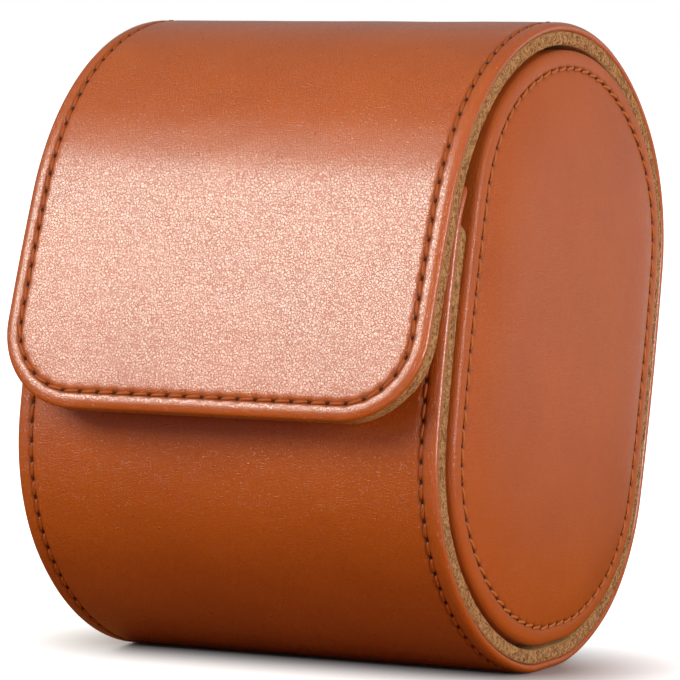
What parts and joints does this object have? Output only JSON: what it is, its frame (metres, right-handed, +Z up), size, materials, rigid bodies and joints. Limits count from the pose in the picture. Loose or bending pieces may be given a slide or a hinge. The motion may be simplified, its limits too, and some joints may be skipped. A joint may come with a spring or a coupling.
{
  "type": "watch travel case",
  "caption": "Oval leather travel case for a watch, with padded ends, a cushion, and a lid and flap that fold open.",
  "frame": {"origin": "centre of the bottom of the bounding box, on the surface that the case stands on", "axes": "+X along the case to its right-hand end cap, +Y to the back where the lid hinges, +Z up; the case leans back by 13 degrees"},
  "size_m": [0.0816, 0.0962, 0.1057],
  "materials": {
    "leather": "smooth, satin",
    "suede": "napped, matt",
    "board": "matt fibreboard",
    "thread": "waxed",
    "foam": "matt foam",
    "magnet": "plated"
  },
  "bodies": {
    "body": {"body_leather": "leather", "body_board": "board", "body_lining": "suede", "body_thread": "thread", "front_magnets": "magnet", "tub_board": "board", "tub_lining": "suede", "right_cap_leather": "leather", "right_cap_foam": "foam", "right_cap_board": "board", "right_cap_lining": "suede", "right_cap_thread": "thread", "left_cap_leather": "leather", "left_cap_foam": "foam", "left_cap_board": "board", "left_cap_lining": "suede", "left_cap_thread": "thread", "cushion_core": "foam", "cushion_cover": "suede", "cushion_right_end": "suede", "cushion_left_end": "suede"},
    "lid": {"lid_leather": "leather", "lid_board": "board", "lid_lining": "suede", "lid_thread": "thread"},
    "flap": {"flap_leather": "leather", "flap_board": "board", "flap_lining": "suede", "flap_thread": "thread", "flap_magnets": "magnet"}
  },
  "joints": [
    {"name": "lid_hinge", "type": "hinge", "parent": "body", "child": "lid", "pos_m": [0, 0.04795, 0.06653], "axis": [-1, 0, 0], "range_deg": [0, 100]},
    {"name": "flap_fold", "type": "hinge", "parent": "lid", "child": "flap", "pos_m": [0, -0.00436, 0.10458], "axis": [-1, 0, 0], "range_deg": [0, 60]}
  ]
}
